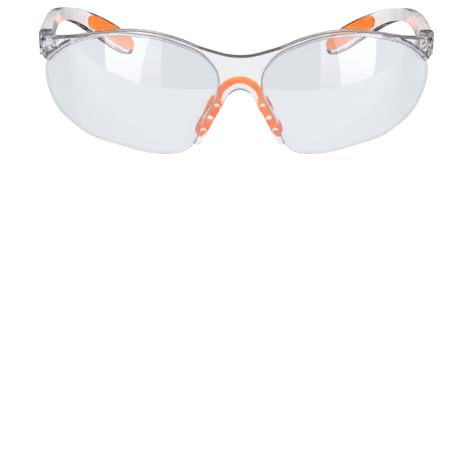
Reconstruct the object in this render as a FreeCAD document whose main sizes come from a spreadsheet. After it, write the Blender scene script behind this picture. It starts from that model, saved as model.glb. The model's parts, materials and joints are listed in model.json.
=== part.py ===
import FreeCAD, Part
import os
import Sketcher

# Safety glasses: a clear half frame holding two wrapped lenses along their upper edge,
# a soft one-piece nose saddle, and two folding temples with soft inlaid ear pads.
# Millimetres. +Z is up, the front faces -Y, the glasses stand on z = 0 with the lenses'
# lower edges and the temple tips, and they are symmetric about x = 0.
# Left and right are the wearer's: the wearer's left is +X.

doc = FreeCAD.newDocument("safety_glasses")

# ---------------------------------------------------------------- driving dimensions
SIZES = [
    ("front_width", 148.4, "across the outsides of the two hinge barrels"),
    ("front_height", 46.0, "from the lenses' lower edge to the top of the brow"),
    ("overall_depth", 158.4, "from the front of the lenses' sphere to the temple tips"),
    ("lens_thickness", 2.0, "moulded lens wall"),
    ("front_lip", 0.8, "frame wall in front of the lens"),
    ("rear_lip", 1.4, "frame wall behind the lens"),
    ("lens_cover", 0.7, "how far the frame laps over the lens edge"),
    ("seat_gap", 0.05, "play between a seated piece and its seat"),
    ("barrel_radius", 2.8, "outside of the hinge barrel"),
    ("knuckle_height", 3.1, "the temple's knuckle, along the pin"),
    ("hinge_gap", 0.1, "play above and below the knuckle"),
    ("sweep_gap", 0.3, "play round the turning parts of the hinge"),
    ("screw_radius", 0.8, "hinge screw shank"),
    ("bore_gap", 0.06, "running play of the knuckle on the screw"),
    ("screw_head_radius", 1.5, "hinge screw head"),
    ("screw_head_height", 0.9, "hinge screw head"),
    ("peg_radius", 0.95, "pegs that hold the nose saddle"),
    ("peg_reach", 3.2, "how far the pegs stand out behind the frame"),
    ("strap_thickness", 1.5, "saddle strap over the nose, seen from the front"),
    ("strap_depth", 3.6, "saddle strap, front to back"),
    ("ear_pad_depth", 1.2, "how deep the ear pad sits in the temple"),
    ("ear_pad_rise", 0.5, "how far the ear pad stands out of the temple"),
]
sheet = doc.addObject("Spreadsheet::Sheet", "dims")
for row, (alias, value, note) in enumerate(SIZES, start=1):
    sheet.set("A%d" % row, alias)
    sheet.set("B%d" % row, str(value))
    sheet.set("C%d" % row, note)
    sheet.setAlias("B%d" % row, alias)

# Sizes that follow from the ones above.
DERIVED = [
    ("wrap_radius", "=front_width * 90 / 148.4", "outer face of the lenses, one sphere"),
    ("wrap_height", "=front_height * 31.8 / 46", "height of the sphere's centre"),
    ("front_y", "=(front_lip - overall_depth) / 2", "front of the lenses' sphere"),
    ("hinge_x", "=front_width / 2 - barrel_radius", "half the spacing of the hinge axes"),
    ("hinge_y", "=front_y + front_width * 42 / 148.4", "hinge axes"),
    ("hinge_low", "=front_height * 29.6 / 46", "underside of the barrel"),
    ("hinge_high", "=front_height * 37.8 / 46", "top of the barrel"),
    ("knuckle_low", "=(hinge_low + hinge_high - knuckle_height) / 2", "underside of the knuckle"),
]
for row, (alias, formula, note) in enumerate(DERIVED, start=len(SIZES) + 2):
    sheet.set("A%d" % row, alias)
    sheet.set("B%d" % row, formula)
    sheet.set("C%d" % row, note)
    sheet.setAlias("B%d" % row, alias)
doc.recompute()


def size(alias):
    return float(sheet.get(alias))


# The outlines below are drawn at these nominal sizes and scaled with the sheet.
SCALE_X = size("front_width") / 148.4
SCALE_Z = size("front_height") / 46.0
SCALE_TEMPLE = (size("overall_depth") - 42.0 * SCALE_X) / (158.4 - 42.0)


def from_front(points):
    """(x, z) points of a shape seen from the front."""
    return [(x * SCALE_X, z * SCALE_Z) for x, z in points]


def back_from_bridge(y):
    """Depth behind the bridge; the part behind the hinge stretches with the overall depth."""
    if y <= 42.0:
        return size("front_y") + y * SCALE_X
    return size("front_y") + 42.0 * SCALE_X + (y - 42.0) * SCALE_TEMPLE


def from_side(points):
    """(y, z) points of a shape seen from the side."""
    return [(back_from_bridge(y), z * SCALE_Z) for y, z in points]


def from_above(points):
    """(x, y) points of a shape seen from above."""
    return [(x * SCALE_X, back_from_bridge(y)) for x, y in points]


# ---------------------------------------------------------------- helpers
FACING = {
    "front": FreeCAD.Rotation(FreeCAD.Vector(1, 0, 0), 90),
    "side": FreeCAD.Rotation(0.5, 0.5, 0.5, 0.5),
    "above": FreeCAD.Rotation(),
}
PUSH = {"front": (0, 1, 0), "side": (1, 0, 0), "above": (0, 0, 1)}
START = {"front": "y", "side": "x", "above": "z"}


def outline(name, view, pieces, start="0"):
    """Sketch of a closed outline. Each piece is a run of points: two points make a straight
    line, more make a smooth curve, and a single piece closes on itself smoothly."""
    sketch = doc.addObject("Sketcher::SketchObject", name)
    sketch.Placement = FreeCAD.Placement(FreeCAD.Vector(), FACING[view])
    sketch.setExpression("Placement.Base." + START[view], start)
    for points in pieces:
        points = [FreeCAD.Vector(a, b, 0) for a, b in points]
        if len(points) == 2:
            sketch.addGeometry(Part.LineSegment(*points))
        else:
            curve = Part.BSplineCurve()
            curve.interpolate(Points=points, PeriodicFlag=len(pieces) == 1)
            sketch.addGeometry(curve)
    if len(pieces) > 1:
        for i in range(len(pieces)):
            sketch.addConstraint(Sketcher.Constraint("Coincident", i, 2, (i + 1) % len(pieces), 1))
    return sketch


def prism(name, view, source, length):
    """Solid pushed straight out of an outline."""
    solid = doc.addObject("Part::Extrusion", name)
    solid.Base = source
    solid.DirMode = "Custom"
    solid.Dir = FreeCAD.Vector(*PUSH[view])
    solid.Solid = True
    solid.setExpression("LengthFwd", length)
    return solid


def moved_out(points, amount):
    """A smooth closed outline's points and the points between them, moved outwards."""
    curve = Part.BSplineCurve()
    curve.interpolate(Points=[FreeCAD.Vector(a, b, 0) for a, b in points], PeriodicFlag=True)
    count = 2 * len(points)
    span = curve.LastParameter - curve.FirstParameter
    found = []
    for i in range(count):
        u = curve.FirstParameter + span * i / count
        place, along = curve.getD1(u)
        out = FreeCAD.Vector(-along.y, along.x, 0).normalize()
        found.append((place.x + out.x * amount, place.y + out.y * amount))
    return found


def sphere(name, radius):
    ball = doc.addObject("Part::Sphere", name)
    ball.setExpression("Radius", radius)
    ball.setExpression("Placement.Base.y", "dims.front_y + dims.wrap_radius")
    ball.setExpression("Placement.Base.z", "dims.wrap_height")
    return ball


def upright(name, radius, low, height, x="dims.hinge_x", y="dims.hinge_y"):
    """Upright cylinder, on the left hinge axis unless told otherwise."""
    rod = doc.addObject("Part::Cylinder", name)
    rod.setExpression("Radius", radius)
    rod.setExpression("Height", height)
    rod.setExpression("Placement.Base.x", x)
    rod.setExpression("Placement.Base.y", y)
    rod.setExpression("Placement.Base.z", low)
    return rod


def cut(name, base, tool):
    step = doc.addObject("Part::Cut", name)
    step.Base, step.Tool = base, tool
    return step


def common(name, first, second):
    step = doc.addObject("Part::MultiCommon", name)
    step.Shapes = [first, second]
    return step


def fuse(name, parts):
    step = doc.addObject("Part::MultiFuse", name)
    step.Shapes = parts
    return step


def mirrored(name, source):
    """The same piece on the other side of x = 0."""
    twin = doc.addObject("Part::Mirroring", name)
    twin.Source = source
    twin.Normal = FreeCAD.Vector(1, 0, 0)
    return twin


def on_both_sides(name, source):
    return fuse(name, [source, mirrored(name + "_twin", source)])


# ---------------------------------------------------------------- outlines seen from the front
LENS_EDGE = [(7.2, 30), (10.6, 37.6), (21.7, 43.1), (34, 44.9), (50.5, 42.6), (65.5, 35), (71.8, 25),
             (69.8, 14.5), (59.5, 4.8), (42, 1.1), (28, 0.12), (17.9, 3.7), (12.7, 15.5)]
BROW = [(69.4, 37.8), (66.0, 38.5), (59, 40.5), (49.6, 43.5), (34.5, 46.0), (22.6, 44.5), (12, 41.1),
        (0, 38.9)]
OUTER_END = [(69.4, 29.6), (69.4, 37.8)]
ARCH = [(13.4, 7.4), (9.4, 15.4), (5.9, 22.3), (3.9, 25.6), (0, 27.5)]
ARM_END = [(13.4, 7.4), (14.2, 6.2), (15.6, 6.0), (17.0, 7.0)]


def across(half):
    """A half outline that ends on x = 0, continued to the other side."""
    return half + [(-x, z) for x, z in half[-2::-1]]


def other_side(points):
    return [(-x, z) for x, z in points[::-1]]


def front_envelope():
    """Everything the frame may fill: brow, bridge, nose arms and end pieces. Its lower lines
    run through the lenses, where the windows take them away again."""
    under = [(17.0, 7.0), (69.4, 29.6)]
    runs = [across(BROW), other_side(OUTER_END), other_side(under), other_side(ARM_END),
            across(ARCH)[::-1], ARM_END, under, OUTER_END]
    return outline("front_envelope", "front", [from_front(run) for run in runs],
                   start="dims.front_y - 5")


# ---------------------------------------------------------------- lenses
lens_outline = outline("lens_outline", "front", [from_front(LENS_EDGE)], start="dims.front_y - 5")
ball_lens_outer = sphere("ball_lens_outer", "dims.wrap_radius")
ball_lens_inner = sphere("ball_lens_inner", "dims.wrap_radius - dims.lens_thickness")
lens_wall = cut("lens_wall", ball_lens_outer, ball_lens_inner)
lens_prism = prism("lens_prism", "front", lens_outline, "dims.wrap_radius * 0.6 + 5")
left_lens = common("left_lens", lens_wall, lens_prism)
right_lens = mirrored("right_lens", left_lens)


# ---------------------------------------------------------------- front frame
def lens_room():
    """The lens grown by the seat gap, to cut its seat in the frame."""
    outer = sphere("ball_seat_outer", "dims.wrap_radius + dims.seat_gap")
    inner = sphere("ball_seat_inner", "dims.wrap_radius - dims.lens_thickness - dims.seat_gap")
    wall = cut("seat_wall", outer, inner)
    edge = outline("seat_outline", "front", [moved_out(from_front(LENS_EDGE), size("seat_gap"))],
                   start="dims.front_y - 5")
    room = common("seat_left", wall, prism("seat_prism", "front", edge, "dims.wrap_radius * 0.6 + 5"))
    return on_both_sides("seat_rooms", room)


def windows():
    """What is left open for each lens inside the frame's lip. They stop short of the hinges."""
    edge = outline("window_outline", "front", [moved_out(from_front(LENS_EDGE), -size("lens_cover"))],
                   start="dims.front_y - 5")
    reach = "dims.hinge_y - dims.barrel_radius - dims.sweep_gap - dims.front_y + 5"
    return on_both_sides("windows", prism("window_left", "front", edge, reach))


def end_piece():
    """Block that carries the front round to the hinge: drawn from above, its front trimmed
    flush with the frame's outer sphere, with the hinge barrel at its back."""
    runs = [[(58.0, 15.0), (66.0, 24.6), (70.5, 32.4), (73.0, 37.4), (73.9, 40.4), (73.6, 42.4)],
            [(73.6, 42.4), (69.2, 42.4)],
            [(69.2, 42.4), (69.15, 40.2), (67.9, 37.6), (65.2, 33.4), (60.0, 27.6)],
            [(60.0, 27.6), (58.0, 15.0)]]
    plan = outline("end_plan", "above", [from_above(run) for run in runs], start="dims.hinge_low")
    block = prism("end_block", "above", plan, "dims.hinge_high - dims.hinge_low")
    flush = common("end_flush", block, ball_frame_outer)
    barrel = upright("barrel", "dims.barrel_radius", "dims.hinge_low", "dims.hinge_high - dims.hinge_low")
    slant = outline("end_slant", "front", [from_front(run) for run in (
        [(71.0, 28.5), (78.0, 28.5)], [(78.0, 28.5), (78.0, 39.3)], [(78.0, 39.3), (71.0, 28.5)])],
        start="dims.front_y")
    return cut("end_left", fuse("end_solid", [flush, barrel]),
               prism("end_wedge", "front", slant, "dims.wrap_radius * 0.6"))


def hinge_cuts():
    """Slot for the temple's knuckle, the screw's bore and the room for its head."""
    slot = upright("slot", "dims.barrel_radius + dims.sweep_gap", "dims.knuckle_low - dims.hinge_gap",
                   "dims.knuckle_height + 2 * dims.hinge_gap")
    bore = upright("frame_bore", "dims.screw_radius + 0.02", "dims.hinge_low - 1",
                   "dims.hinge_high - dims.hinge_low + 2")
    head = upright("head_room", "dims.screw_head_radius + 0.05",
                   "dims.hinge_high - dims.screw_head_height", "dims.screw_head_height + 1")
    return on_both_sides("hinge_cuts", fuse("hinge_cuts_left", [slot, bore, head]))


PEGS = [(7.9, 20.9), (10.2, 16.3), (12.6, 11.4)]


def peg_row(name, extra, reach):
    """The three pegs of the left nose arm, or with extra radius the holes they fill."""
    rods = []
    for i, (x, z) in enumerate(from_front(PEGS)):
        rod = doc.addObject("Part::Cylinder", "%s_%d" % (name, i + 1))
        rod.Placement = FreeCAD.Placement(FreeCAD.Vector(x, 0, z), FreeCAD.Rotation(-90, 0, 0))
        rod.Placement.Rotation = FreeCAD.Rotation(FreeCAD.Vector(1, 0, 0), -90)
        rod.setExpression("Radius", "dims.peg_radius + " + extra)
        rod.setExpression("Height", "dims.front_lip + dims.lens_thickness + dims.rear_lip + " + reach)
        rod.setExpression("Placement.Base.y", "dims.front_y + %g" % (1.6 * SCALE_X))
        rods.append(rod)
    return fuse(name, rods)


ball_frame_outer = sphere("ball_frame_outer", "dims.wrap_radius + dims.front_lip")
ball_frame_inner = sphere("ball_frame_inner", "dims.wrap_radius - dims.lens_thickness - dims.rear_lip")
frame_wall = cut("frame_wall", ball_frame_outer, ball_frame_inner)
envelope = prism("envelope", "front", front_envelope(), "dims.wrap_radius * 0.6 + 5")
plate = common("front_plate", frame_wall, envelope)
ends = on_both_sides("end_pieces", end_piece())
solid_front = fuse("solid_front", [plate, ends])
opened_front = cut("opened_front", solid_front, windows())
seated_front = cut("seated_front", opened_front, lens_room())
hinged_front = cut("hinged_front", seated_front, hinge_cuts())
pegs = on_both_sides("pegs", peg_row("peg", "0", "dims.peg_reach - 1.6"))
front_frame = fuse("front_frame", [hinged_front, pegs])


# ---------------------------------------------------------------- nose saddle
def nose_pad():
    """Pad behind the nose arm, leaning outwards towards its back."""
    at_front = [(5.8, 21.2), (6.5, 22.8), (8.0, 23.3), (9.1, 22.2), (11.7, 16.6), (14.3, 11.2),
                (14.2, 9.5), (12.9, 8.9), (11.6, 9.8), (8.6, 15.6)]
    at_back = [(x + 1.2, z - 0.1) for x, z in at_front]
    front = outline("pad_front", "front", [from_front(at_front)], start="dims.front_y + 2")
    back = outline("pad_back", "front", [from_front(at_back)], start="dims.front_y + 9.2")
    loft = doc.addObject("Part::Loft", "pad_loft")
    loft.Sections = [front, back]
    loft.Solid = True
    return loft


def strap():
    """Arched strap that joins the pads behind the bridge."""
    upper = [(8.9, 21.6), (7.9, 25.6), (4.9, 29.2), (0, 30.7)]
    lower = [(6.3, 21.2), (6.1, 24.6), (3.9, 27.7), (0, 30.7 - size("strap_thickness") / SCALE_Z)]
    runs = [across(upper), [(-8.9, 21.6), (-6.3, 21.2)], across(lower)[::-1], [(6.3, 21.2), (8.9, 21.6)]]
    band = outline("strap_outline", "front", [from_front(run) for run in runs], start="dims.front_y + 2")
    return prism("strap", "front", band, "dims.strap_depth + 1.5")


saddle_block = fuse("saddle_block", [on_both_sides("pads", nose_pad()), strap()])
ball_saddle = sphere("ball_saddle", "dims.wrap_radius - dims.lens_thickness - dims.rear_lip - dims.seat_gap")
saddle_shape = common("saddle_shape", saddle_block, ball_saddle)
peg_holes = on_both_sides("peg_holes", peg_row("peg_hole", "dims.seat_gap", "dims.peg_reach - 1.4"))
nose_saddle = cut("nose_saddle", saddle_shape, peg_holes)


# ---------------------------------------------------------------- temples and ear pads
TEMPLE_TOP = [(42, 37.8), (50, 38.8), (60, 39.3), (72, 38.7), (86, 37.0), (100, 34.3), (115, 30.6),
              (130, 25.1), (145, 16.8), (152, 11.8), (157.2, 7.0)]
TEMPLE_TIP = [(157.2, 7.0), (158.4, 4.2), (158.0, 1.4), (156, 0)]
TEMPLE_UNDER = [(156, 0), (150, 3.2), (145, 6.4), (130, 16.8), (115, 24.3), (100, 29.0), (86, 31.8),
                (72, 33.3), (60, 33.3), (50, 32.1), (42, 30.6)]
TEMPLE_OUTSIDE = [(74.2, 42), (73.7, 50), (73.6, 60), (73.5, 72), (72.9, 86), (71.5, 100), (68.9, 115),
                  (64.3, 130), (56.4, 145), (49.2, 158.4)]
TEMPLE_INSIDE = [(45.6, 158.4), (52.8, 145), (60.9, 130), (65.7, 115), (68.4, 100), (69.8, 86),
                 (70.2, 72), (70.0, 60), (69.6, 50), (69.3, 42)]
PAD_SIDE = [(125.2, 22.3), (126.6, 24.5), (130, 23.8), (134, 22.0), (139, 19.0), (145, 15.3), (151, 11.1),
            (155.3, 7.4), (156.5, 4.6), (155.3, 2.8), (153.2, 3.2), (149, 5.7), (143, 9.5), (136, 14.3),
            (130, 18.0), (126.2, 20.3)]


def temple_blank():
    side = outline("temple_side", "side", [from_side(TEMPLE_TOP), from_side(TEMPLE_TIP),
                                           from_side(TEMPLE_UNDER), from_side([(42, 30.6), (42, 37.8)])],
                   start="dims.hinge_x - %g" % (45 * SCALE_X))
    plan = outline("temple_plan", "above", [from_above(TEMPLE_OUTSIDE), from_above([(49.2, 158.4), (45.6, 158.4)]),
                                            from_above(TEMPLE_INSIDE), from_above([(69.3, 42), (74.2, 42)])],
                   start="-1")
    return common("temple_blank", prism("temple_from_side", "side", side, "60 * %g" % SCALE_X),
                  prism("temple_from_above", "above", plan, "dims.front_height + 2"))


def knuckle():
    """Barrel section that turns between the frame's two lugs, with the web that joins it."""
    drum = upright("knuckle_drum", "dims.barrel_radius", "dims.knuckle_low", "dims.knuckle_height")
    web = doc.addObject("Part::Box", "knuckle_web")
    web.setExpression("Length", "1.4 * dims.barrel_radius")
    web.setExpression("Width", "dims.barrel_radius + 1.2")
    web.setExpression("Height", "dims.knuckle_height")
    web.setExpression("Placement.Base.x", "dims.hinge_x - 0.65 * dims.barrel_radius")
    web.setExpression("Placement.Base.y", "dims.hinge_y")
    web.setExpression("Placement.Base.z", "dims.knuckle_low")
    return fuse("knuckle", [drum, web])


def ear_pad_strip(name, inward, outward):
    """Strip along the temple's inner face, from `inward` off the face to `outward` into it."""
    face = TEMPLE_INSIDE[:5]
    near = [(x - inward / SCALE_X, y) for x, y in face]
    far = [(x + outward / SCALE_X, y) for x, y in face[::-1]]
    runs = [near, [near[-1], far[0]], far, [far[-1], near[0]]]
    plan = outline(name + "_plan", "above", [from_above(run) for run in runs], start="-1")
    return prism(name + "_strip", "above", plan, "dims.front_height")


def ear_pad(name, inward, outward, grow=0.0):
    side = outline(name + "_side", "side", [moved_out(from_side(PAD_SIDE), grow)],
                   start="dims.hinge_x - %g" % (45 * SCALE_X))
    across_temple = prism(name + "_prism", "side", side, "60 * %g" % SCALE_X)
    return common(name, across_temple, ear_pad_strip(name, inward, outward))


lug_clearance = upright("lug_clearance", "dims.barrel_radius + dims.sweep_gap", "dims.hinge_low - 2",
                        "dims.hinge_high - dims.hinge_low + 4")
temple_body = cut("temple_body", temple_blank(), lug_clearance)
temple_hinged = fuse("temple_hinged", [temple_body, knuckle()])
temple_bore = upright("temple_bore", "dims.screw_radius + dims.bore_gap", "dims.hinge_low", "20")
temple_bored = cut("temple_bored", temple_hinged, temple_bore)
ear_pad_room = ear_pad("ear_pad_room", size("ear_pad_rise") + 3, size("ear_pad_depth") + size("seat_gap"),
                       size("seat_gap"))
left_temple = cut("left_temple", temple_bored, ear_pad_room)
right_temple = mirrored("right_temple", left_temple)
left_temple_pad = ear_pad("left_temple_pad", size("ear_pad_rise"), size("ear_pad_depth"))
right_temple_pad = mirrored("right_temple_pad", left_temple_pad)

# ---------------------------------------------------------------- hinge screws
shank = upright("screw_shank", "dims.screw_radius", "dims.hinge_low + 0.9",
                "dims.hinge_high - dims.hinge_low - 1.2")
head = upright("screw_head", "dims.screw_head_radius", "dims.hinge_high - dims.screw_head_height",
               "dims.screw_head_height - 0.1")
driver_slot = doc.addObject("Part::Box", "driver_slot")
driver_slot.setExpression("Length", "2 * dims.screw_head_radius + 1")
driver_slot.setExpression("Width", "0.4")
driver_slot.setExpression("Height", "1")
driver_slot.setExpression("Placement.Base.x", "dims.hinge_x - dims.screw_head_radius - 0.5")
driver_slot.setExpression("Placement.Base.y", "dims.hinge_y - 0.2")
driver_slot.setExpression("Placement.Base.z", "dims.hinge_high - 0.5")
left_hinge_screw = cut("left_hinge_screw", fuse("screw_solid", [shank, head]), driver_slot)
right_hinge_screw = mirrored("right_hinge_screw", left_hinge_screw)

# ---------------------------------------------------------------- check and write
PIECES = [front_frame, left_lens, right_lens, nose_saddle, left_temple, right_temple,
          left_temple_pad, right_temple_pad, left_hinge_screw, right_hinge_screw]
doc.recompute()
for item in doc.Objects:
    if "Invalid" in item.State or "Error" in item.State:
        raise RuntimeError("%s did not recompute: %s" % (item.Name, item.State))

os.makedirs("parts", exist_ok=True)
for piece in PIECES:
    piece.Label = piece.Name
    shape = piece.Shape
    if shape.isNull() or not shape.isValid() or len(shape.Solids) != 1:
        raise RuntimeError("%s is not one valid solid: %d" % (piece.Name, len(shape.Solids)))
    box = shape.BoundBox
    print("%-18s %8.0f mm3  x %7.2f %7.2f  y %7.2f %7.2f  z %7.2f %7.2f" % (
        piece.Name, shape.Volume, box.XMin, box.XMax, box.YMin, box.YMax, box.ZMin, box.ZMax))
    shape.exportStep("parts/%s.step" % piece.Name)
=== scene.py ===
# %% [markdown]
# # Clear safety glasses
# This lesson builds a pair of clear safety glasses round a CAD model that is already the right
# size. A clear piece hides nothing: its thickness, its rounded edges and even the groove that
# holds the lens can be seen, so every clear piece here is modelled as a closed solid.
# First the CAD model is loaded.

# %% Load the CAD model
import json
import math

import bmesh
import bpy
from mathutils import Matrix, Vector


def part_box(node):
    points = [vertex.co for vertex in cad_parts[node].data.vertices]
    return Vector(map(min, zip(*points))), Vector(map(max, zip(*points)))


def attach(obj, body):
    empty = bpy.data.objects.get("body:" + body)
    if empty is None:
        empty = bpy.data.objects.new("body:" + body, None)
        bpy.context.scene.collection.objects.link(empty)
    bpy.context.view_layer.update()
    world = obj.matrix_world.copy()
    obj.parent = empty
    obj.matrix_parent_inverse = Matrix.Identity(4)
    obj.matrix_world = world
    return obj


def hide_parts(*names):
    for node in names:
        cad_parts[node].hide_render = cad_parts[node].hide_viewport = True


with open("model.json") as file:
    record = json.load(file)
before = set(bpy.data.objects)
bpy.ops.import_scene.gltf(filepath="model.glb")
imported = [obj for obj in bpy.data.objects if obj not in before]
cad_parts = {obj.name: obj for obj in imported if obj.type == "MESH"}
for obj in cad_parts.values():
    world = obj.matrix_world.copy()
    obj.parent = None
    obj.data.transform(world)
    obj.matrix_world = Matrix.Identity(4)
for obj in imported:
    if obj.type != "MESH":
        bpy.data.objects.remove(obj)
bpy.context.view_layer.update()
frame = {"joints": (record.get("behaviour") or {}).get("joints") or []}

# %% [markdown]
# ## The sphere behind the front
# The lenses and the half frame are moulded to one sphere, like pieces of the same ball. Two
# numbers place it: its centre and the radius of the lenses' outer face. The hinges are read from
# the CAD model's joints, so that the pieces turn about the right lines.

# %% Sphere and hinges
MM = 0.001
LENS_OUTER = 90.0
LENS_INNER = 88.0
FRAME_OUTER = 90.8
FRAME_INNER = 86.6
SADDLE_OUTER = 86.5
front_of_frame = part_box("front_frame")[0][1] / MM
CENTRE = Vector((0.0, front_of_frame + FRAME_OUTER, 31.8)) * MM
BRIDGE_Y = CENTRE.y / MM - LENS_OUTER
hinge_at = {joint["name"]: Vector(joint["pos_m"]) / MM for joint in frame["joints"]}
HINGE = hinge_at["left_hinge"]
BARREL_RADIUS, TURNING_ROOM = 2.8, 3.1
SCREW_RADIUS, FRONT_BORE, KNUCKLE_BORE = 0.8, 0.82, 0.86
HEAD_RADIUS, HEAD_ROOM, HEAD_LOW, HEAD_HIGH = 1.5, 1.55, 36.9, 37.7
SLOT_LOW, SLOT_HIGH = 32.05, 35.35
KNUCKLE_LOW, KNUCKLE_HIGH = 32.15, 35.25
print("sphere centre in mm:", [round(c / MM, 2) for c in CENTRE], "left hinge:", HINGE)

# %% [markdown]
# ## Small helpers
# Operators work on whatever is selected, so each step begins by selecting exactly what it needs.
# These helpers do that, and the ones that every piece needs: applying a modifier, joining and
# cutting solids, and finishing a piece with its place in its mesh.

# %% Helpers
def only(*pieces):
    """Selects these pieces and nothing else; the first is the active one."""
    if bpy.context.object and bpy.context.object.mode != "OBJECT":
        bpy.ops.object.mode_set(mode="OBJECT")
    bpy.ops.object.select_all(action="DESELECT")
    for piece in pieces:
        piece.select_set(True)
    if pieces:
        bpy.context.view_layer.objects.active = pieces[0]


def edit(piece, kind="FACE"):
    """Opens a piece for editing with everything selected."""
    only(piece)
    bpy.ops.object.mode_set(mode="EDIT")
    bpy.ops.mesh.select_mode(type=kind)
    bpy.ops.mesh.select_all(action="SELECT")


def done(piece):
    bpy.ops.object.mode_set(mode="OBJECT")
    return piece


def pick(piece, wanted, kind="FACE"):
    """In edit mode, selects the faces, edges or corners that pass a test."""
    bpy.ops.mesh.select_mode(type=kind)
    bpy.ops.mesh.select_all(action="DESELECT")
    mesh = bmesh.from_edit_mesh(piece.data)
    for item in {"FACE": mesh.faces, "EDGE": mesh.edges, "VERT": mesh.verts}[kind]:
        if wanted(item):
            item.select_set(True)
    mesh.select_flush_mode()
    bmesh.update_edit_mesh(piece.data)


def put_in_place(piece):
    """Moves the object's place, turn and size into its mesh."""
    only(piece)
    bpy.ops.object.transform_apply(location=True, rotation=True, scale=True)
    return piece


def apply(piece, kind, **settings):
    """Adds a modifier, sets it up and applies it."""
    only(piece)
    modifier = piece.modifiers.new(kind.title(), kind)
    for name, value in settings.items():
        setattr(modifier, name, value)
    bpy.ops.object.modifier_apply(modifier=modifier.name)
    return piece


def combine(piece, tool, how):
    """Joins, cuts or trims a solid with another one, which is used up."""
    apply(piece, "BOOLEAN", object=tool, operation=how, solver="EXACT")
    bpy.data.objects.remove(tool, do_unlink=True)
    return piece


def round_edges(piece, width, steps=2, angle=40):
    return apply(piece, "BEVEL", width=width * MM, segments=steps, limit_method="ANGLE",
                 angle_limit=math.radians(angle), use_clamp_overlap=True, harden_normals=False)


def smooth(piece, angle=35):
    only(piece)
    bpy.ops.object.shade_smooth_by_angle(angle=math.radians(angle))
    return piece


WELD = 0.000004
WELD_COARSE = 0.00002


def tidy_mesh(piece, apart=WELD):
    """Welds corners less than this many metres apart and turns all faces outwards."""
    edit(piece, "VERT")
    bpy.ops.mesh.remove_doubles(threshold=apart)
    bpy.ops.mesh.normals_make_consistent(inside=False)
    return done(piece)


def copy_of(piece, name):
    twin = piece.copy()
    twin.data = piece.data.copy()
    twin.name = name
    bpy.context.collection.objects.link(twin)
    return twin


def other_side(piece, name):
    """The mirrored piece for the wearer's other side, as its own mesh."""
    twin = copy_of(piece, name)
    edit(twin)
    bpy.ops.transform.resize(value=(-1, 1, 1), center_override=(0, 0, 0))
    bpy.ops.mesh.normals_make_consistent(inside=False)
    return done(twin)


def open_edges(piece):
    """How many edges don't join exactly two faces; none means a closed solid."""
    mesh = bmesh.new()
    mesh.from_mesh(piece.data)
    count = sum(1 for edge in mesh.edges if len(edge.link_faces) != 2)
    mesh.free()
    return count


def tell(piece):
    xs, ys, zs = zip(*[v.co[:] for v in piece.data.vertices])
    spans = ["%.1f..%.1f" % (min(c) / MM, max(c) / MM) for c in (xs, ys, zs)]
    print(piece.name, len(piece.data.polygons), "faces, spans in mm", spans,
          "open edges", open_edges(piece))


print("helpers ready; corners closer than", WELD / MM, "mm are welded")


# %% [markdown]
# ## Drawing on a flat board
# A curved shell is hard to draw directly. Instead it is drawn on a flat board that touches the
# front, and then cast on the sphere, as a lamp at the sphere's centre would throw it.
# `on_board` answers where on the board a place seen from the front has to be drawn. `drawn`
# makes an outline: smooth through its places, with a corner where one is named.

# %% Outlines
def on_board(x, z, radius):
    up = z - CENTRE.z / MM
    spread = LENS_OUTER / math.sqrt(radius**2 - x * x - up * up)
    return Vector((x * spread, -LENS_OUTER, up * spread)) * MM


def drawn(name, places, corners=(), steps=6, origin=(0, 0, 0)):
    """A closed outline as a loop of edges, from places in metres."""
    only()
    bpy.ops.curve.primitive_bezier_circle_add(location=origin)
    outline = bpy.context.object
    outline.name = name
    outline.data.resolution_u = steps
    knots = outline.data.splines[0].bezier_points
    knots.add(len(places) - len(knots))
    for knot, place in zip(knots, places):
        knot.co = place
    for number, knot in enumerate(knots):
        knot.handle_left_type = knot.handle_right_type = "VECTOR" if number in corners else "AUTO"
    bpy.ops.object.convert(target="MESH")
    edit(outline, "VERT")
    bpy.ops.mesh.remove_doubles(threshold=WELD_COARSE)
    return done(outline)


def moved_over(line, amount, closed=True):
    """The places of a line, each moved to its right by an amount."""
    moved = []
    last = len(line) - 1
    for i, (x, z) in enumerate(line):
        before = line[i - 1] if closed or i > 0 else line[i]
        after = line[(i + 1) % len(line)] if closed or i < last else line[i]
        along = Vector((after[0] - before[0], after[1] - before[1])).normalized()
        moved.append((x + along.y * amount, z - along.x * amount))
    return moved


def prism(name, outline, facing, low, high, corners=(), steps=6):
    """A solid with this outline seen from the "front", the "side" or "above"."""
    place = {"front": lambda a, b: (a, low, b),
             "side": lambda a, b: (low, a, b),
             "above": lambda a, b: (a, b, low)}
    move = {"front": (0, high - low, 0), "side": (high - low, 0, 0), "above": (0, 0, high - low)}
    solid = drawn(name, [Vector(place[facing](a, b)) * MM for a, b in outline], corners, steps)
    edit(solid, "EDGE")
    bpy.ops.mesh.edge_face_add()
    bpy.ops.mesh.extrude_region_move(TRANSFORM_OT_translate={"value": Vector(move[facing]) * MM})
    bpy.ops.mesh.select_all(action="SELECT")
    bpy.ops.mesh.normals_make_consistent(inside=False)
    return done(solid)


# %% [markdown]
# Two kinds of round bar and a plain block serve as tools to join and cut with. They are never
# a finished piece. `at` turns a depth behind the foremost line of the front into a y.

# %% Round bars and blocks
def upright(radius, low, high, sides=48, name="bar"):
    """An upright round bar on the left hinge's line."""
    only()
    bpy.ops.mesh.primitive_cylinder_add(vertices=sides, radius=radius * MM, depth=(high - low) * MM,
                                        location=(HINGE.x * MM, HINGE.y * MM, (low + high) / 2 * MM))
    bpy.context.object.name = name
    return put_in_place(bpy.context.object)


def round_rod(x, z, radius, low, high):
    """A round bar that points from the front to the back."""
    only()
    bpy.ops.mesh.primitive_cylinder_add(vertices=40, radius=radius * MM, depth=(high - low) * MM,
                                        location=(x * MM, (low + high) / 2 * MM, z * MM),
                                        rotation=(math.pi / 2, 0, 0))
    return put_in_place(bpy.context.object)


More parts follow.
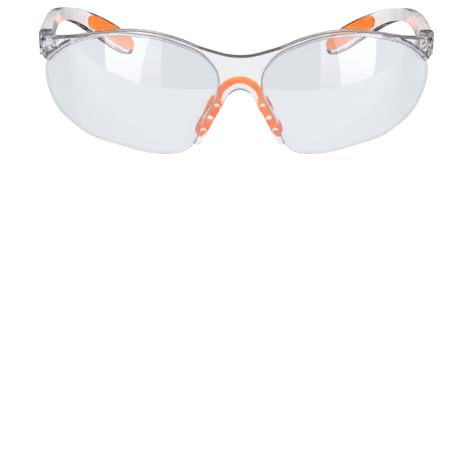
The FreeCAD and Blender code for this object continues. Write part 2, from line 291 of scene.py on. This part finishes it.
def block(low, high):
    only()
    middle = [(a + b) / 2 * MM for a, b in zip(low, high)]
    bpy.ops.mesh.primitive_cube_add(size=1, location=middle)
    piece = bpy.context.object
    piece.scale = [(b - a) * MM for a, b in zip(low, high)]
    return put_in_place(piece)


def at(apex_y):
    """A depth behind the front's foremost line, as a y in the frame, both in millimetres."""
    return apex_y + BRIDGE_Y


print("foremost line of the front at y", round(BRIDGE_Y, 1), "mm")

# %% [markdown]
# ## Lenses
# Each lens is a 2 mm clear wall cut from the sphere, deeper towards the nose than at the side.
# Rings of faces that shrink towards the middle follow the outline at the rim and stay even
# inside. A clear, mirror-smooth surface needs that: any kink would show in its reflections.
# Both faces are made this way, the rims are bridged, and a small bevel rounds them.

# %% Lenses
LENS_EDGE = [(7.2, 30), (10.6, 37.6), (21.7, 43.1), (34, 44.9), (50.5, 42.6), (65.5, 35),
             (71.8, 25), (69.8, 14.5), (59.5, 4.8), (42, 1.2), (28, 0.26), (17.9, 3.7),
             (12.7, 15.5)]
LENS_MIDDLE = (41.0, 23.0)
RING_SIZES = [0.965, 0.92, 0.86, 0.79, 0.71, 0.62, 0.53, 0.44, 0.35, 0.26, 0.17, 0.08]


def lens_face(name, edge, radius):
    """One face of a lens as rings of quads, cast on a sphere of that radius."""
    face = drawn(name, [on_board(x, z, radius) for x, z in edge], steps=10, origin=CENTRE)
    middle = CENTRE + on_board(*LENS_MIDDLE, radius)
    edit(face, "EDGE")
    size_now = 1.0
    for size in RING_SIZES:
        bpy.ops.mesh.extrude_edges_move()
        step = size / size_now
        bpy.ops.transform.resize(value=(step, 1, step), center_override=middle)
        size_now = size
    bpy.ops.mesh.merge(type="CENTER")
    done(face)
    return apply(face, "CAST", cast_type="SPHERE", factor=1.0, radius=0.0, size=radius * MM,
                 use_radius_as_size=False)


def lens_wall(name, edge, outer, inner):
    """A closed wall between two spheres, with this edge when seen from the front."""
    front, back = lens_face(name, edge, outer), lens_face("back", edge, inner)
    only(front, back)
    bpy.ops.object.join()
    edit(front, "EDGE")
    pick(front, lambda e: len(e.link_faces) == 1, "EDGE")
    bpy.ops.mesh.bridge_edge_loops()
    done(front)
    put_in_place(front)
    return tidy_mesh(front)


left_lens = lens_wall("lens_left", LENS_EDGE, LENS_OUTER, LENS_INNER)
round_edges(left_lens, 0.4, steps=2, angle=50)
smooth(left_lens)
right_lens = other_side(left_lens, "lens_right")
smooth(right_lens)
tell(left_lens)

# %% [markdown]
# ## The half frame
# The front is one moulding: a brow over both lenses, a bridge, two short arms down to the nose
# and a thick end piece at each hinge. A curved slab of the right thickness is trimmed with the
# outline seen from the front, the end piece is joined to it, and everything outside the outer
# sphere is cut away, so both share one surface. Then the windows and the lens grooves are cut.
# Only the left half is made; a Mirror modifier makes the other.

# %% The front's slab and outline
FRONT_OUTLINE = [(-12, 41.1), (0, 38.9), (12, 41.1), (22.6, 44.5), (34.5, 46.0), (49.6, 43.5),
                 (59, 40.5), (66, 38.5), (69.4, 37.8), (69.4, 29.6), (17, 7), (15.6, 6.0),
                 (14.2, 6.2), (13.4, 7.4), (9.4, 15.4), (5.9, 22.3), (3.9, 25.6), (0, 27.5),
                 (-3.9, 25.6)]
FRONT_CORNERS = (0, 8, 9, 10, 18)


def slab(name, outer, inner):
    """A patch of a thick ball that covers the left half of the front."""
    only()
    bpy.ops.mesh.primitive_grid_add(x_subdivisions=112, y_subdivisions=64, size=1, location=CENTRE,
                                    rotation=(math.pi / 2, 0, 0))
    patch = bpy.context.object
    patch.name = name
    patch.scale = (0.196, 0.112, 1)
    bpy.ops.object.transform_apply(location=False, rotation=True, scale=True)
    edit(patch)
    bpy.ops.transform.translate(value=(0.0753, -LENS_OUTER * MM, -0.0203))
    done(patch)
    apply(patch, "CAST", cast_type="SPHERE", factor=1.0, radius=0.0, size=outer * MM,
          use_radius_as_size=False)
    edit(patch)
    bpy.ops.mesh.extrude_region_move()
    bpy.ops.transform.resize(value=(inner / outer,) * 3, center_override=CENTRE)
    bpy.ops.mesh.select_all(action="SELECT")
    bpy.ops.mesh.normals_make_consistent(inside=False)
    done(patch)
    return put_in_place(patch)


def mirror_half(piece):
    """Cuts a piece open at the middle plane and adds its mirror image, welded along the cut."""
    edit(piece)
    bpy.ops.mesh.bisect(plane_co=(0, 0, 0), plane_no=(1, 0, 0), clear_inner=True, threshold=0.0000001)
    pick(piece, lambda f: all(abs(v.co.x) < 0.000001 for v in f.verts))
    bpy.ops.mesh.delete(type="ONLY_FACE")
    done(piece)
    apply(piece, "MIRROR", use_mirror_merge=True, merge_threshold=0.00001)
    return tidy_mesh(piece)


front = slab("half_frame", 93.0, FRAME_INNER)
combine(front, prism("outline", FRONT_OUTLINE, "front", at(-6), at(60), FRONT_CORNERS), "INTERSECT")
tell(front)

# %% [markdown]
# The end piece is drawn from above, because that is where its shape shows. The barrel of the
# hinge is an upright cylinder at its tip.

# %% End piece, windows and lens grooves
END_LOW, END_HIGH = 29.6, 37.8
END_PLAN = [(58, 15), (66, 24.6), (70.5, 32.4), (73, 37.4), (73.9, 40.4), (73.6, 42.4),
            (69.2, 42.4), (69.15, 40.2), (67.9, 37.6), (65.2, 33.4), (60, 27.6)]
end_piece = prism("end_piece", [(x, at(y)) for x, y in END_PLAN], "above", END_LOW, END_HIGH, (0, 5, 6, 10))
combine(front, end_piece, "UNION")
window = prism("window", moved_over(LENS_EDGE, 0.7), "front", at(-8), at(38.9), steps=10)
combine(front, window, "DIFFERENCE")
combine(front, prism("corner", [(71, 28.5), (78, 39.3), (78, 28.5)], "front", at(10), at(60), (0, 1, 2), 1),
        "DIFFERENCE")
combine(front, upright(BARREL_RADIUS, END_LOW, END_HIGH, 64), "UNION")
combine(front, slab("ball", FRAME_OUTER, 30.0), "INTERSECT")
combine(front, lens_wall("groove", moved_over(LENS_EDGE, -0.05), 90.05, 87.95), "DIFFERENCE")
tell(front)

# %% [markdown]
# The hinge needs a slot for the temple's knuckle, a bore for the screw and room for its head.
# Three short pegs on each nose arm hold the soft nose saddle.

# %% Hinge, pegs and the mirrored half
PEGS = [(7.9, 20.9), (10.2, 16.3), (12.6, 11.4)]
PEG_RADIUS, PEG_HOLE = 0.95, 1.0
combine(front, upright(TURNING_ROOM, SLOT_LOW, SLOT_HIGH, 64), "DIFFERENCE")
combine(front, upright(FRONT_BORE, 28, 40), "DIFFERENCE")
combine(front, upright(HEAD_ROOM, HEAD_LOW, 40), "DIFFERENCE")
for x, z in PEGS:
    combine(front, round_rod(x, z, PEG_RADIUS, at(2.2), at(7.4)), "UNION")
round_edges(front, 0.18, steps=2, angle=38)
mirror_half(front)
smooth(front, 30)
tell(front)

# %% [markdown]
# ## Temples
# A temple is drawn twice: once from the side, and once from above where it bends inwards behind
# the ear. Where both prisms overlap is the temple. Its end is hollowed to let the barrel turn,
# and one knuckle on a short web reaches into the slot of the front.

# %% Temples
TEMPLE_SIDE = [(42, 37.8), (50, 38.8), (60, 39.3), (72, 38.7), (86, 37), (100, 34.3), (115, 30.6),
               (130, 25.1), (145, 16.8), (152, 11.8), (157.2, 7), (158.4, 4.2), (158, 1.4),
               (156, 0), (150, 3.2), (145, 6.4), (130, 16.8), (115, 24.3), (100, 29.0),
               (86, 31.8), (72, 33.3), (60, 33.3), (50, 32.1), (42, 30.6)]
TEMPLE_OUTSIDE = [(74.2, 42), (73.7, 50), (73.6, 60), (73.5, 72), (72.9, 86), (71.5, 100),
                  (68.9, 115), (64.3, 130), (56.4, 145), (49.2, 158.4)]
TEMPLE_INSIDE = [(45.6, 158.4), (52.8, 145), (60.9, 130), (65.7, 115), (68.4, 100), (69.8, 86),
                 (70.2, 72), (70.0, 60), (69.6, 50), (69.3, 42)]
PAD_SIDE = [(125.2, 22.3), (126.6, 24.5), (130, 23.8), (134, 22), (139, 19), (145, 15.3),
            (151, 11.1), (155.3, 7.4), (156.5, 4.6), (155.3, 2.8), (153.2, 3.2), (149, 5.7),
            (143, 9.5), (136, 14.3), (130, 18), (126.2, 20.3)]


def behind(line):
    """The line with its depths turned into the frame's: seen from above."""
    return [(x, at(y)) for x, y in line]


def from_side(line):
    return [(at(y), z) for y, z in line]


def pad_solid(name, grow, proud, deep):
    """The soft pad's shape on the temple's inner face, or a little larger for its pocket."""
    solid = prism(name, from_side(moved_over(PAD_SIDE, -grow)), "side", 40, 80, steps=8)
    near = TEMPLE_INSIDE[:4]
    band = moved_over(near, -proud, closed=False) + moved_over(near, deep, closed=False)[::-1]
    return combine(solid, prism("band", behind(band), "above", -5, 30, (0, 3, 4, 7), 8), "INTERSECT")


# %% [markdown]
# The two prisms are crossed, the room for the barrel and the pocket for the pad are cut, and
# the long edges are rounded. The knuckle is joined after that, so that it stays sharp.

# %% Temples from their outlines
left_temple = prism("temple_left", from_side(TEMPLE_SIDE), "side", 40, 80, (0, 13, 23), 8)
plan = behind(TEMPLE_OUTSIDE + TEMPLE_INSIDE)
combine(left_temple, prism("plan", plan, "above", -5, 45, (0, 9, 10, 19), 8), "INTERSECT")
combine(left_temple, upright(TURNING_ROOM, 25, 45, 64), "DIFFERENCE")
combine(left_temple, pad_solid("pocket", 0.05, 0.9, 1.25), "DIFFERENCE")
round_edges(left_temple, 0.45, steps=3, angle=40)
knuckle = upright(BARREL_RADIUS, KNUCKLE_LOW, KNUCKLE_HIGH, 64)
web = block((HINGE.x - 1.82, HINGE.y, KNUCKLE_LOW), (HINGE.x + 2.1, HINGE.y + 4.0, KNUCKLE_HIGH))
combine(knuckle, web, "UNION")
combine(left_temple, knuckle, "UNION")
combine(left_temple, upright(KNUCKLE_BORE, 28, 40), "DIFFERENCE")
tidy_mesh(left_temple)
smooth(left_temple, 30)
right_temple = other_side(left_temple, "temple_right")
smooth(right_temple, 30)
tell(left_temple)

# %% [markdown]
# ## Soft pads on the temples
# The soft pads fill their pockets and stand half a millimetre proud of the inner face. Their
# edges are well rounded, because the elastomer is moulded soft.

# %% Ear pads
left_pad = pad_solid("ear_pad_left", 0.0, 0.5, 1.2)
round_edges(left_pad, 0.3, steps=3, angle=40)
smooth(left_pad, 40)
right_pad = other_side(left_pad, "ear_pad_right")
smooth(right_pad, 40)
tell(left_pad)

# %% [markdown]
# ## Nose saddle
# The saddle is one soft piece: two pads joined by a strap across the bridge. Its front lies on
# the frame's inner face, so it is trimmed with a ball a hair smaller than that. Each pad leans
# outwards towards its back.

# %% Nose saddle
PAD_FRONT = [(5.8, 21.2), (6.5, 22.8), (8, 23.3), (9.1, 22.2), (11.7, 16.6), (14.3, 11.2),
             (14.2, 9.5), (12.9, 8.9), (11.6, 9.8), (8.6, 15.6)]
STRAP = [(8.9, 21.6), (7.9, 25.6), (4.9, 29.2), (0, 30.7), (-4.9, 29.2), (-3.9, 27.7), (0, 29.2),
         (3.9, 27.7), (6.1, 24.6), (6.3, 21.2)]
saddle = prism("nose_saddle_soft", PAD_FRONT, "front", at(2), at(9.2), steps=8)
edit(saddle)
pick(saddle, lambda v: v.co.y > at(9) * MM, "VERT")
bpy.ops.transform.translate(value=(0.0012, 0, -0.0001))
done(saddle)
combine(saddle, prism("strap", STRAP, "front", at(2), at(7.1), (0, 4, 5, 9), 8), "UNION")
combine(saddle, slab("inner_ball", SADDLE_OUTER + 0.05, 30.0), "INTERSECT")
for x, z in PEGS:
    combine(saddle, round_rod(x, z, PEG_HOLE, at(0), at(12)), "DIFFERENCE")
round_edges(saddle, 0.28, steps=3, angle=40)
mirror_half(saddle)
tidy_mesh(saddle, WELD_COARSE)
smooth(saddle, 40)
tell(saddle)

# %% [markdown]
# ## Hinge screws
# A pin with a low head, rounded at its rim, with a slot for a small screwdriver.

# %% Screws
left_screw = upright(SCREW_RADIUS, 30.5, 37.5, 32, "screw_left")
combine(left_screw, upright(HEAD_RADIUS, HEAD_LOW, HEAD_HIGH), "UNION")
driver_slot = block((HINGE.x - 2, HINGE.y - 0.2, 37.4), (HINGE.x + 2, HINGE.y + 0.2, 38))
combine(left_screw, driver_slot, "DIFFERENCE")
round_edges(left_screw, 0.08, steps=2, angle=40)
smooth(left_screw, 35)
right_screw = other_side(left_screw, "screw_right")
smooth(right_screw, 35)
tell(left_screw)

# %% [markdown]
# ## Materials
# A material is a small network of nodes. Clear plastic is mostly transmission: light goes
# through it, bent by its index of refraction. What makes it look like a thing that has been
# worn is small: a faint haze where it was wiped, and hair-fine scratches that only show in
# reflections. Those come from noise that moves the roughness and the bump a little.

# %% Material tools
def material(name):
    made = bpy.data.materials.new(name)
    made.use_nodes = True
    nodes = made.node_tree.nodes
    return made, nodes, made.node_tree.links, nodes["Principled BSDF"]


def varied(nodes, links, scale, low, high, detail=4.0, stretch=(1, 1, 1)):
    """Noise in the object's own space, mapped to values between low and high."""
    place = nodes.new("ShaderNodeTexCoord")
    mapping = nodes.new("ShaderNodeMapping")
    mapping.inputs["Scale"].default_value = stretch
    noise = nodes.new("ShaderNodeTexNoise")
    noise.inputs["Scale"].default_value = scale
    noise.inputs["Detail"].default_value = detail
    spread = nodes.new("ShaderNodeMapRange")
    spread.inputs["From Min"].default_value = 0.3
    spread.inputs["From Max"].default_value = 0.7
    spread.inputs["To Min"].default_value = low
    spread.inputs["To Max"].default_value = high
    links.new(place.outputs["Object"], mapping.inputs["Vector"])
    links.new(mapping.outputs["Vector"], noise.inputs["Vector"])
    links.new(noise.outputs["Fac"], spread.inputs["Value"])
    return spread.outputs["Result"]


def bumped(nodes, links, shader, height, strength, distance):
    bump = nodes.new("ShaderNodeBump")
    bump.inputs["Strength"].default_value = strength
    bump.inputs["Distance"].default_value = distance
    links.new(height, bump.inputs["Height"])
    links.new(bump.outputs["Normal"], shader.inputs["Normal"])


def clear_polycarbonate(name, tint, low, high, wiped=(1, 1, 1), waviness=0.03, depth=0):
    """Clear moulded plastic: its tint, its least and most roughness, and how thickness darkens it."""
    made, nodes, links, shader = material(name)
    shader.inputs["Base Color"].default_value = (*tint, 1)
    shader.inputs["Transmission Weight"].default_value = 1.0
    shader.inputs["IOR"].default_value = 1.585
    links.new(varied(nodes, links, 90, low, high, stretch=wiped), shader.inputs["Roughness"])
    scratches = varied(nodes, links, 1400, 0, 1, stretch=(1, 1, 0.08))
    bumped(nodes, links, shader, scratches, waviness, 0.00002)
    if depth > 0:
        inside = nodes.new("ShaderNodeVolumeAbsorption")
        inside.inputs["Color"].default_value = (0.80, 0.785, 0.81, 1)
        inside.inputs["Density"].default_value = depth
        links.new(inside.outputs["Volume"], nodes["Material Output"].inputs["Volume"])
    return made


def marked_ends(made, axis, start, full, depth):
    """Wavy plastic towards the hinges, where the flow into the mould left its marks."""
    nodes, links = made.node_tree.nodes, made.node_tree.links
    shader = nodes["Principled BSDF"]
    place = nodes.new("ShaderNodeTexCoord")
    parts = nodes.new("ShaderNodeSeparateXYZ")
    along = nodes.new("ShaderNodeMath")
    along.operation = "ABSOLUTE"
    mask = nodes.new("ShaderNodeMapRange")
    mask.inputs["From Min"].default_value = start
    mask.inputs["From Max"].default_value = full
    height = nodes.new("ShaderNodeMath")
    height.operation = "MULTIPLY"
    marks = nodes.new("ShaderNodeBump")
    marks.inputs["Strength"].default_value = 0.8
    marks.inputs["Distance"].default_value = depth
    links.new(place.outputs["Object"], parts.inputs["Vector"])
    links.new(parts.outputs[axis], along.inputs[0])
    links.new(along.outputs[0], mask.inputs["Value"])
    links.new(varied(nodes, links, 120, 0, 1, 1.5, (0.3, 1, 2.2)), height.inputs[0])
    links.new(mask.outputs["Result"], height.inputs[1])
    links.new(height.outputs[0], marks.inputs["Height"])
    links.new(shader.inputs["Normal"].links[0].from_socket, marks.inputs["Normal"])
    links.new(marks.outputs["Normal"], shader.inputs["Normal"])


lens_clear = clear_polycarbonate("lens_polycarbonate", (0.655, 0.675, 0.71), 0.0, 0.02,
                                 (1, 1, 0.3), 0.004)
frame_clear = clear_polycarbonate("half_frame_polycarbonate", (0.86, 0.85, 0.87), 0.05, 0.15, depth=78)
temple_clear = clear_polycarbonate("temple_polycarbonate", (0.98, 0.955, 0.975), 0.04, 0.13,
                                   (1, 0.3, 1), depth=35)


def soft_elastomer(name, dark, light, painted_glow):
    """Bright orange rubber: satin and slightly uneven. The glow is painted light, a stand-in that brightens
    the rubber in its own colour.
    """
    made, nodes, links, shader = material(name)
    colour = nodes.new("ShaderNodeMix")
    colour.data_type = "RGBA"
    colour.inputs[6].default_value = (*dark, 1)
    colour.inputs[7].default_value = (*light, 1)
    links.new(varied(nodes, links, 220, 0, 1), colour.inputs[0])
    links.new(colour.outputs[2], shader.inputs["Base Color"])
    links.new(varied(nodes, links, 400, 0.34, 0.5), shader.inputs["Roughness"])
    shader.inputs["Transmission Weight"].default_value = 0.25
    shader.inputs["IOR"].default_value = 1.42
    shader.inputs["Subsurface Weight"].default_value = 0.7
    shader.inputs["Subsurface Radius"].default_value = (1.0, 0.5, 0.25)
    shader.inputs["Subsurface Scale"].default_value = 0.0015
    shader.inputs["Specular IOR Level"].default_value = 0.1
    # Painted light: the rubber glows in its own colour, as if it were lit more brightly than it is.
    links.new(colour.outputs[2], shader.inputs["Emission Color"])
    shader.inputs["Emission Strength"].default_value = painted_glow
    bumped(nodes, links, shader, varied(nodes, links, 2600, 0, 1), 0.12, 0.00004)
    return made


# The last number is the strength of the painted glow on each soft part.
pad_orange = soft_elastomer("ear_pad_elastomer", (1.0, 0.20, 0.03), (1.0, 0.32, 0.06), 0.22)
saddle_orange = soft_elastomer("nose_saddle_elastomer", (0.85, 0.14, 0.0), (1.0, 0.36, 0.01), 0.55)


def turned_steel(name):
    """Plain steel with the fine rings that turning leaves."""
    made, nodes, links, shader = material(name)
    shader.inputs["Base Color"].default_value = (0.55, 0.55, 0.57, 1)
    shader.inputs["Metallic"].default_value = 1.0
    links.new(varied(nodes, links, 900, 0.22, 0.42), shader.inputs["Roughness"])
    bumped(nodes, links, shader, varied(nodes, links, 3000, 0, 1, stretch=(1, 1, 6)), 0.15, 0.00003)
    return made


marked_ends(frame_clear, "X", 0.038, 0.056, 0.00045)
# Painted shade: the lens rim takes a near-black clear tint, which draws the dark line along the edge of
# each lens into its colour.
lens_rim_painted_dark = clear_polycarbonate("lens_rim_painted_dark_line", (0.03, 0.03, 0.04), 0.12, 0.3)
screw_steel = turned_steel("turned_screw_steel")
print("materials:", [m.name for m in bpy.data.materials])

# %% [markdown]
# Each piece gets its material, the body it moves with and the CAD node it stands for; each row also names a
# slot of the record. Nothing of the CAD model stays visible.

# %% Give every piece its material and its body
PIECES = [(front, frame_clear, "front", "front_frame", "clear_frame"),
          (left_lens, lens_clear, "front", "left_lens", "clear_lens"),
          (right_lens, lens_clear, "front", "right_lens", "clear_lens"),
          (saddle, saddle_orange, "front", "nose_saddle", "soft_orange"),
          (left_temple, temple_clear, "left_arm", "left_temple", "clear_temple"),
          (right_temple, temple_clear, "right_arm", "right_temple", "clear_temple"),
          (left_pad, pad_orange, "left_arm", "left_temple_pad", "soft_orange"),
          (right_pad, pad_orange, "right_arm", "right_temple_pad", "soft_orange"),
          (left_screw, screw_steel, "front", "left_hinge_screw", "screw_steel"),
          (right_screw, screw_steel, "front", "right_hinge_screw", "screw_steel")]
only()
for piece, finish, body, node, slot in PIECES:
    piece.data.materials.clear()
    piece.data.materials.append(finish)
    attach(piece, body)
    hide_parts(node)
# The sideways faces, the rims, take the second material with its painted dark line.
for lens in (left_lens, right_lens):
    lens.data.materials.append(lens_rim_painted_dark)
    rim = 0
    for face in lens.data.polygons:
        if abs(face.normal.dot((face.center - CENTRE).normalized())) < 0.9:
            face.material_index = 1
            rim += 1
    print(lens.name, "rim faces", rim)
print("pieces:", len(PIECES))

# %% [markdown]
# ## Table, light panels and camera
# Clear plastic is drawn by what stands round it. A bright table makes it glow, light panels
# left and right lie as white shapes on the lenses, and the darker room between and above them
# gives the clear edges their thin dark lines.

# %% Glowing materials
def glowing(name, colour, strength=None):
    """A material that gives off light; without a strength, the caller links its own."""
    made, nodes, links, shader = material(name)
    shader.inputs["Base Color"].default_value = (0.03, 0.03, 0.03, 1)
    shader.inputs["Roughness"].default_value = 1.0
    shader.inputs["Emission Color"].default_value = (*colour, 1)
    if strength is not None:
        links.new(varied(nodes, links, 2, strength, strength * 1.01), shader.inputs["Emission Strength"])
    return made


def brighter_above(made, low, high):
    """Makes a light panel's glow rise with height, from well below the table to just under it."""
    nodes, links = made.node_tree.nodes, made.node_tree.links
    place = nodes.new("ShaderNodeTexCoord")
    parts = nodes.new("ShaderNodeSeparateXYZ")
    rise = nodes.new("ShaderNodeMapRange")
    rise.interpolation_type = "SMOOTHSTEP"
    for name, value in {"From Min": -0.30, "From Max": -0.02, "To Min": low, "To Max": high}.items():
        rise.inputs[name].default_value = value
    links.new(place.outputs["Object"], parts.inputs["Vector"])
    links.new(parts.outputs["Z"], rise.inputs["Value"])
    links.new(rise.outputs["Result"], nodes["Principled BSDF"].inputs["Emission Strength"])


def fade_towards_back(made, front_y, back_y, bright, dim):
    """Makes a glowing material dimmer from one depth to another, and in a strip before the nose."""
    nodes, links = made.node_tree.nodes, made.node_tree.links
    place = nodes.new("ShaderNodeTexCoord")
    parts = nodes.new("ShaderNodeSeparateXYZ")
    fade = nodes.new("ShaderNodeMapRange")
    for name, value in {"From Min": front_y, "From Max": back_y, "To Min": bright, "To Max": dim}.items():
        fade.inputs[name].default_value = value
    links.new(place.outputs["Object"], parts.inputs["Vector"])
    links.new(parts.outputs["Y"], fade.inputs["Value"])
    width = nodes.new("ShaderNodeMath")
    width.operation = "ABSOLUTE"
    middle = nodes.new("ShaderNodeMapRange")
    for name, value in {"From Min": 0.012, "From Max": 0.026, "To Min": dim, "To Max": bright}.items():
        middle.inputs[name].default_value = value
    least = nodes.new("ShaderNodeMath")
    least.operation = "MINIMUM"
    links.new(parts.outputs["X"], width.inputs[0])
    links.new(width.outputs[0], middle.inputs["Value"])
    links.new(middle.outputs["Result"], least.inputs[0])
    links.new(fade.outputs["Result"], least.inputs[1])
    links.new(least.outputs[0], nodes["Principled BSDF"].inputs["Emission Strength"])


# %% [markdown]
# Panels and the near table are flat shapes. A panel is hidden from the camera and seen only as a
# reflection.

# %% Flat shapes
def flat_shape(name, places, finish):
    """A flat piece of the setting through these corners, in metres."""
    shape = drawn(name, [Vector(p) for p in places], range(len(places)), 1)
    edit(shape, "EDGE")
    bpy.ops.mesh.edge_face_add()
    done(shape)
    shape.data.materials.append(finish)
    return shape


def panel(name, low_edges, high_edges, low, high, finish, away):
    """An upright light panel. Its edges are azimuths: 0 is straight in front."""
    places = []
    for azimuth, z in ((low_edges[0], low), (low_edges[1], low),
                       (high_edges[1], high), (high_edges[0], high)):
        a = math.radians(azimuth)
        places.append((math.sin(a) * away, -math.cos(a) * away, z))
    shape = flat_shape(name, places, finish)
    shape.visible_camera = False
    shape.visible_transmission = False
    return shape


# %% [markdown]
# The lit surfaces differ in strength and, a little, in colour. Two panels and the near table
# change in brightness across them, as real lit surfaces do.

# %% What the lit surfaces are made of
table_white = glowing("table_white", (1.0, 1.0, 1.0), 1.02)
wall_white = glowing("wall_white", (1.0, 1.0, 1.0), 0.4)
near_white = glowing("near_table_white", (0.95, 0.97, 1.0))
fade_towards_back(near_white, -0.078, -0.045, 2.6, 1.02)
panel_white = glowing("panel_white", (1.0, 1.0, 1.0))
panel_pale = glowing("panel_pale", (1.0, 1.0, 1.0))
brighter_above(panel_white, 3.7, 5.6)
brighter_above(panel_pale, 1.8, 3.0)
panel_side = glowing("panel_side", (0.94, 0.97, 1.0), 1.7)
panel_grey = glowing("panel_grey", (0.96, 0.98, 1.0), 1.1)
print("glowing materials:", [m.name for m in bpy.data.materials if "white" in m.name or "panel" in m.name])

# %% [markdown]
# ### Table and back wall
# The table fills the view below the glasses, and the wall stands far behind them.

# %% Table and back wall
only()
bpy.ops.mesh.primitive_plane_add(size=9, location=(0, 0.6, -0.0004))
table = bpy.context.object
table.name = "table"
put_in_place(table)
table.data.materials.append(table_white)
table.visible_glossy = False
only()
bpy.ops.mesh.primitive_plane_add(size=1, location=(0, 2.4, 0.6), rotation=(math.pi / 2, 0, 0))
wall = bpy.context.object
wall.name = "back_wall"
wall.scale = (7, 1.2, 1)
put_in_place(wall)
wall.data.materials.append(wall_white)
print("table", [round(c, 2) for c in table.dimensions], "wall", [round(c, 2) for c in wall.dimensions])

# %% [markdown]
# ### The near table and the panels
# The near table is the lit patch that the lower half of each lens mirrors. Its inner line
# follows the foot of the lenses. Each panel is given by the azimuths of its edges.

# %% Near table and panels
NEAR_EDGE = [(-0.30, -0.07), (-0.182, -0.099), (-0.078, -0.124), (-0.018, -0.151),
             (0.026, -0.149), (0.082, -0.113), (0.160, -0.075), (0.30, -0.04), (0.30, 0.06),
             (0.085, 0.06), (0.0835, 0.0), (0.0727, -0.031), (0.0594, -0.0486), (0.042, -0.062),
             (0.0217, -0.0704), (0, -0.0733), (-0.0217, -0.0704), (-0.042, -0.062),
             (-0.0594, -0.0486), (-0.0727, -0.031), (-0.0835, 0.0), (-0.085, 0.06), (-0.30, 0.06)]
near_table = flat_shape("near_table", [(x, y, -0.0002) for x, y in NEAR_EDGE], near_white)
near_table.visible_camera = False
near_table.visible_transmission = False
PANEL_FOOT, PANEL_TOP, NEARER, FURTHER = -0.5, 0.22, 0.7, 0.73
for name, low_edges, high_edges, top, finish, away in (
        ("left_panel", (-66, -54), (-63, -37), PANEL_TOP, panel_white, NEARER),
        ("left_side", (-92, -65), (-92, -62), PANEL_TOP, panel_side, FURTHER),
        ("left_band", (-60, -36), (-44, -33), PANEL_TOP, panel_pale, FURTHER),
        ("middle_panel", (-40, 44), (-37, 41), 0.3, panel_grey, 0.76),
        ("right_band", (40, 65), (38, 49), PANEL_TOP, panel_pale, FURTHER),
        ("right_panel", (58, 71), (42, 68), PANEL_TOP, panel_white, NEARER),
        ("right_side", (69, 94), (66, 94), PANEL_TOP, panel_side, FURTHER)):
    panel(name, low_edges, high_edges, PANEL_FOOT, top, finish, away)
print("near table corners:", len(NEAR_EDGE))

# %% [markdown]
# ### Overhead light and room
# One soft light from above fills in, and a dim room gives the clear edges something to darken
# against.

# %% Overhead light and room
only()
bpy.ops.object.light_add(type="AREA", location=(0, 0.1, 0.8))
overhead = bpy.context.object
overhead.name = "overhead"
overhead.data.shape = "RECTANGLE"
overhead.data.size, overhead.data.size_y = 1.2, 0.9
overhead.data.energy = 6.0
world = bpy.data.worlds.new("room")
bpy.context.scene.world = world
world.use_nodes = True
world.node_tree.nodes["Background"].inputs["Color"].default_value = (0.93, 0.95, 1.0, 1)
world.node_tree.nodes["Background"].inputs["Strength"].default_value = 0.12

# %% [markdown]
# ## The camera
# A long lens draws the near and the far parts of the glasses at nearly the same size. The
# camera stands a little to one side and 16 degrees above them, and it looks down at the bridge.
# Three turns one after another aim it: the tilt down, the turn to the side, and a small roll.

# %% The camera
AIM = Vector((0.0, BRIDGE_Y, 26.8)) * MM
TURN, RISE, AWAY = math.radians(-1.8), math.radians(16.0), 0.45
LOOK_SIDEWAYS, LOOK_DOWN, ROLL = -1.62, 22.38, 0.5
only()
bpy.ops.object.camera_add()
camera = bpy.context.object
camera.location = AIM + Vector((math.sin(TURN) * math.cos(RISE), -math.cos(TURN) * math.cos(RISE),
                                math.sin(RISE))) * AWAY
turn = Matrix.Rotation(math.radians(LOOK_SIDEWAYS), 3, "Z")
tilt = Matrix.Rotation(math.radians(90 - LOOK_DOWN), 3, "X")
roll = Matrix.Rotation(math.radians(ROLL), 3, "Z")
camera.rotation_euler = (turn @ tilt @ roll).to_euler()
camera.data.sensor_width = 36
camera.data.lens = 98.3
bpy.context.scene.camera = camera
bpy.context.scene.view_settings.view_transform = "Standard"
print("camera at", [round(c, 3) for c in camera.location])
